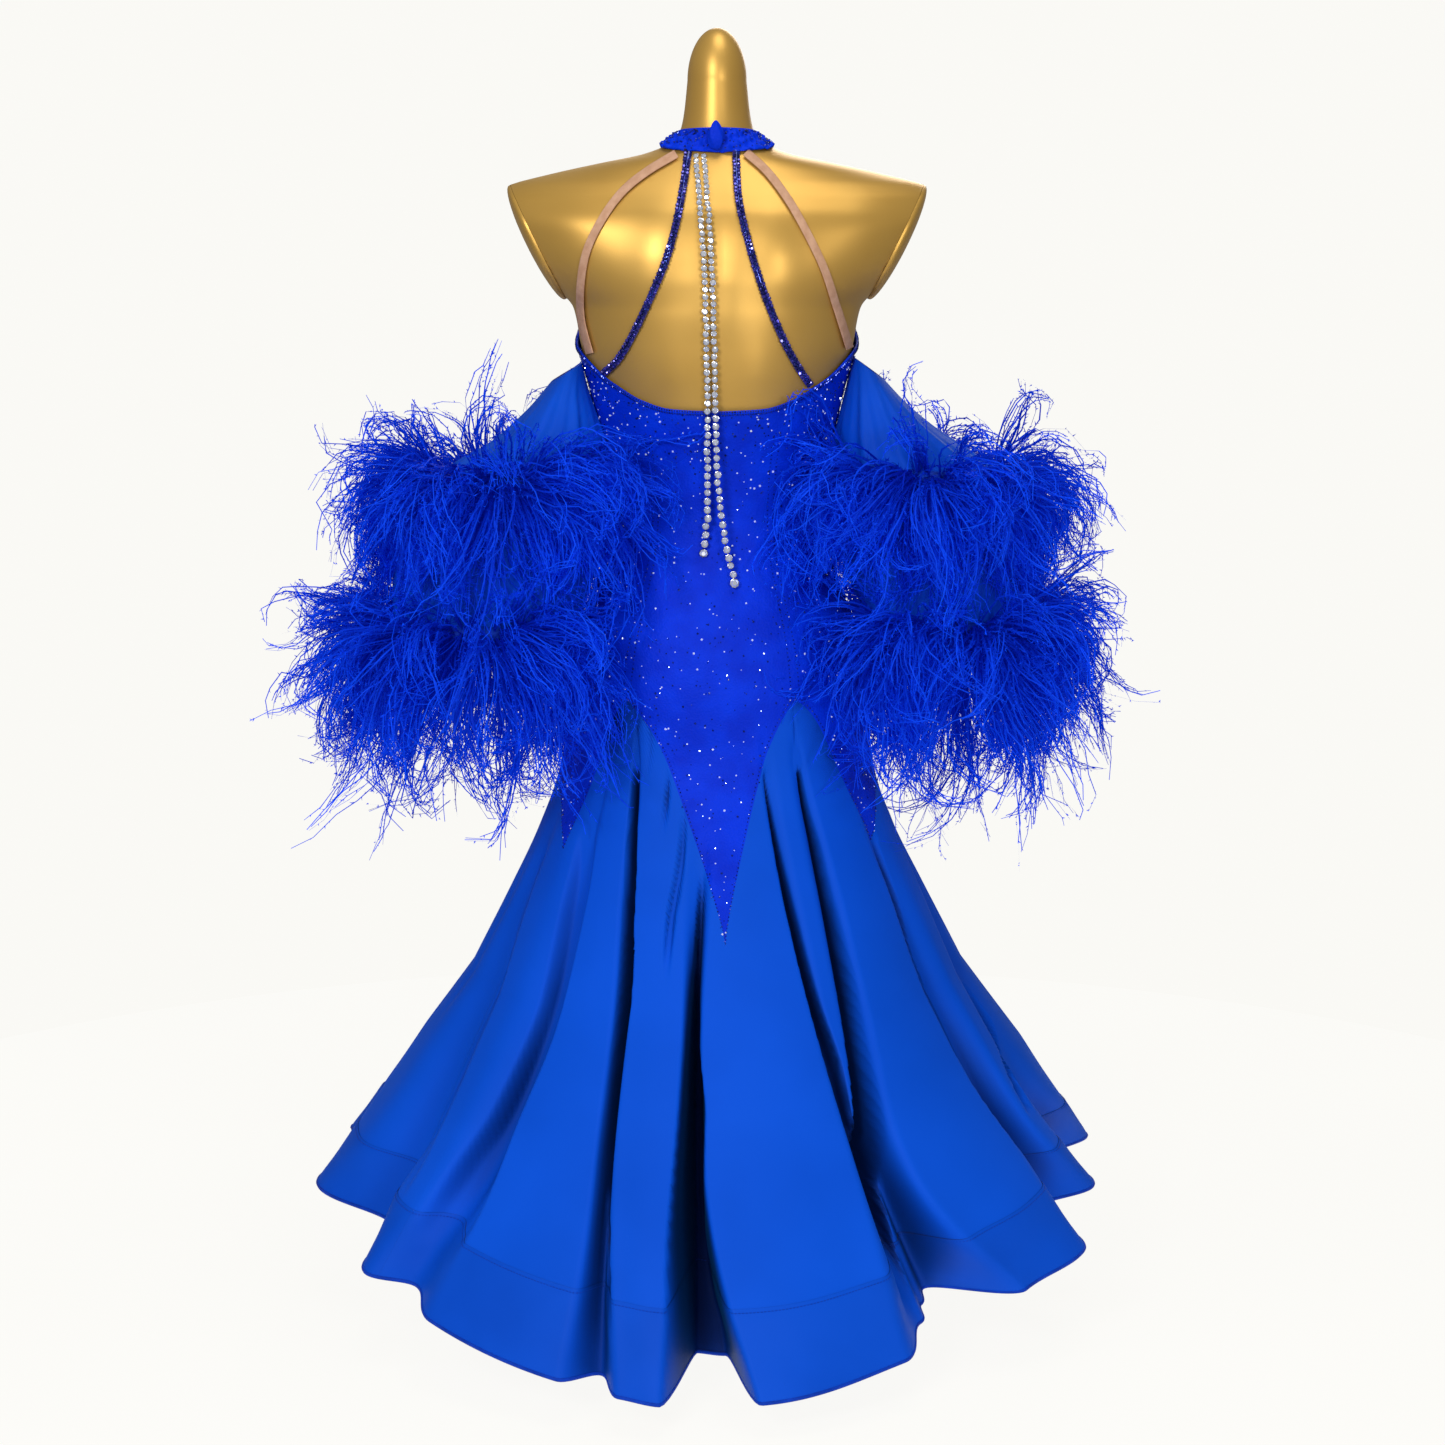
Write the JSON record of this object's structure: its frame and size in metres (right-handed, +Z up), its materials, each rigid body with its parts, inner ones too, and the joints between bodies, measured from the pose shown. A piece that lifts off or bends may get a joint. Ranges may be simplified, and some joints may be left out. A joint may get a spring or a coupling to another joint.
{
  "type": "ballroom gown on dress form",
  "caption": "Backless halter ballroom gown with a flared godet skirt, off-shoulder sheer sleeves and feather trims, on a limbless gold dress form with a round stand base",
  "frame": {"origin": "centre of the stand base's underside, on the floor", "axes": "+Z up; the gown's back looks along -Y and its front along +Y; the wearer's right is +X"},
  "size_m": [0.9281, 0.9415, 1.3366],
  "materials": {
    "form_gold": "satin metallic gold lacquer on a smooth moulded shell",
    "stand_steel": "brushed",
    "sparkle_cloth": "royal blue stretch cloth with scattered sequins and stones",
    "skirt_crepe": "matte satin-backed crepe, cobalt blue",
    "sleeve_sheer": "sheer blue chiffon",
    "feather_blue": "dyed ostrich-type feather fronds",
    "nude_elastic": "matte skin-tone elastic",
    "dark_stones": "two rows of faceted dark blue and violet stones",
    "crystal_stones": "faceted clear stones in silver cups"
  },
  "bodies": {
    "root": {"stand_base": "stand_steel", "stand_hub": "stand_steel", "stand_pole": "stand_steel", "stand_flange": "stand_steel", "dress_form": "form_gold", "arm_cap_left": "form_gold", "arm_cap_right": "form_gold", "panel_front": "sparkle_cloth", "panel_side_front_left": "sparkle_cloth", "panel_side_back_left": "sparkle_cloth", "panel_back": "sparkle_cloth", "panel_side_back_right": "sparkle_cloth", "panel_side_front_right": "sparkle_cloth", "neckline_binding": "sparkle_cloth", "collar_band": "sparkle_cloth", "collar_knot": "sparkle_cloth", "godet_front_left": "skirt_crepe", "godet_side_left": "skirt_crepe", "godet_back_left": "skirt_crepe", "godet_back_right": "skirt_crepe", "godet_side_right": "skirt_crepe", "godet_front_right": "skirt_crepe", "hem_band_front_left": "skirt_crepe", "hem_band_side_left": "skirt_crepe", "hem_band_back_left": "skirt_crepe", "hem_band_back_right": "skirt_crepe", "hem_band_side_right": "skirt_crepe", "hem_band_front_right": "skirt_crepe", "sleeve_left": "sleeve_sheer", "sleeve_right": "sleeve_sheer", "feathers_upper_left": "feather_blue", "feathers_lower_left": "feather_blue", "feathers_upper_right": "feather_blue", "feathers_lower_right": "feather_blue", "nude_strap_left": "nude_elastic", "nude_strap_right": "nude_elastic", "bead_strap_left": "dark_stones", "bead_strap_right": "dark_stones", "crystal_strand_left": "crystal_stones", "crystal_strand_right": "crystal_stones"}
  },
  "joints": []
}
